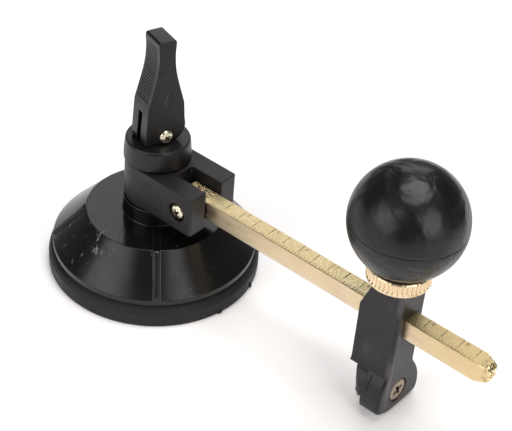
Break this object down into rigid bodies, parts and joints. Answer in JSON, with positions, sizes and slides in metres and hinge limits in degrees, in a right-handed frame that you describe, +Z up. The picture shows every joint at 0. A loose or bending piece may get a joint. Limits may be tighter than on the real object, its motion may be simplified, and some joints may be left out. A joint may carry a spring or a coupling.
{
  "type": "circle glass cutter",
  "caption": "Circle glass cutter with a suction-cup centre post, cam lever, swivelling graduated bar, clamped sliding head, ball knob and rotating turret of cutting wheels.",
  "frame": {"origin": "on the swivel axis, in the plane of the glass under the suction pad", "axes": "+X outward along the graduated bar, +Z up along the swivel axis, +Y across the bar"},
  "size_m": [0.1417, 0.0606, 0.0745],
  "materials": {
    "rubber": "matte",
    "gloss_black": "glossy",
    "satin_black": "satin",
    "knob_black": "satin gloss",
    "turret_black": "satin",
    "brass": "brushed",
    "plated_steel": "nickel plated",
    "wheel_steel": "ground"
  },
  "bodies": {
    "base": {"suction_pad": "rubber", "pad_diaphragm": "rubber", "base_cone": "gloss_black", "collar_cap": "gloss_black", "swivel_washer": "plated_steel"},
    "stem": {"pull_stem": "plated_steel"},
    "lever": {"cam_lever": "satin_black", "lever_pivot_screw": "plated_steel", "lever_pivot_nut": "plated_steel"},
    "yoke": {"swivel_yoke": "satin_black", "arm_pivot_screw": "plated_steel", "arm_pivot_nut": "plated_steel"},
    "arm": {"scale_bar": "brass"},
    "head": {"slider_body": "satin_black", "turret_screw": "plated_steel", "turret_nut": "plated_steel"},
    "shoe": {"clamp_shoe": "brass"},
    "clamp": {"clamp_nut": "brass", "knob_retainer": "plated_steel"},
    "knob": {"knob_lower": "knob_black", "knob_upper": "knob_black"},
    "turret": {"wheel_turret": "turret_black", "wheel_axle_1": "plated_steel", "wheel_axle_2": "plated_steel", "wheel_axle_3": "plated_steel", "wheel_axle_4": "plated_steel", "wheel_axle_5": "plated_steel", "wheel_axle_6": "plated_steel"},
    "wheel_1": {"cutter_wheel_1": "wheel_steel"},
    "wheel_2": {"cutter_wheel_2": "wheel_steel"},
    "wheel_3": {"cutter_wheel_3": "wheel_steel"},
    "wheel_4": {"cutter_wheel_4": "wheel_steel"},
    "wheel_5": {"cutter_wheel_5": "wheel_steel"},
    "wheel_6": {"cutter_wheel_6": "wheel_steel"}
  },
  "joints": [
    {"name": "stem_lift", "type": "slide", "parent": "base", "child": "stem", "axis": [0, 0, 1], "range_m": [0, 0.0041], "deforming": ["pad_diaphragm"]},
    {"name": "lever_flip", "type": "hinge", "parent": "stem", "child": "lever", "pos_m": [0, 0, 0.0451], "axis": [-0.9548, 0.2974, 0], "range_deg": [0, 90]},
    {"name": "arm_swivel", "type": "hinge", "parent": "base", "child": "yoke", "pos_m": [0, 0, 0.03035], "axis": [0, 0, 1], "continuous": true},
    {"name": "arm_tilt", "type": "hinge", "parent": "yoke", "child": "arm", "pos_m": [0.0158, 0, 0.0299], "axis": [0, -1, 0], "range_deg": [0, 85]},
    {"name": "head_travel", "type": "slide", "parent": "arm", "child": "head", "axis": [1, 0, 0], "range_m": [-0.04, 0.02]},
    {"name": "shoe_lift", "type": "slide", "parent": "head", "child": "shoe", "axis": [0, 0, 1], "range_m": [0, 0.001]},
    {"name": "clamp_turn", "type": "hinge", "parent": "shoe", "child": "clamp", "pos_m": [0.08135, 0, 0.04425], "axis": [0, 0, 1], "range_deg": [0, 360]},
    {"name": "knob_spin", "type": "hinge", "parent": "clamp", "child": "knob", "pos_m": [0.08135, 0, 0.0597], "axis": [0, 0, 1], "continuous": true},
    {"name": "turret_index", "type": "hinge", "parent": "head", "child": "turret", "pos_m": [0.0793, 0.0002, 0.007], "axis": [1, 0, 0], "continuous": true},
    {"name": "wheel_spin_1", "type": "hinge", "parent": "turret", "child": "wheel_1", "pos_m": [0.07865, 0.0002, 0.0023], "axis": [1, 0, 0], "continuous": true},
    {"name": "wheel_spin_2", "type": "hinge", "parent": "turret", "child": "wheel_2", "pos_m": [0.07865, 0.00427, 0.00465], "axis": [1, 0, 0], "continuous": true},
    {"name": "wheel_spin_3", "type": "hinge", "parent": "turret", "child": "wheel_3", "pos_m": [0.07865, 0.00427, 0.00935], "axis": [1, 0, 0], "continuous": true},
    {"name": "wheel_spin_4", "type": "hinge", "parent": "turret", "child": "wheel_4", "pos_m": [0.07865, 0.0002, 0.0117], "axis": [1, 0, 0], "continuous": true},
    {"name": "wheel_spin_5", "type": "hinge", "parent": "turret", "child": "wheel_5", "pos_m": [0.07865, -0.00387, 0.00935], "axis": [1, 0, 0], "continuous": true},
    {"name": "wheel_spin_6", "type": "hinge", "parent": "turret", "child": "wheel_6", "pos_m": [0.07865, -0.00387, 0.00465], "axis": [1, 0, 0], "continuous": true}
  ],
  "couplings": [
    {"joint": "stem_lift", "follows": "lever_flip", "m_per_rad": 0.00261},
    {"joint": "shoe_lift", "follows": "clamp_turn", "m_per_rad": 0.00015915}
  ]
}
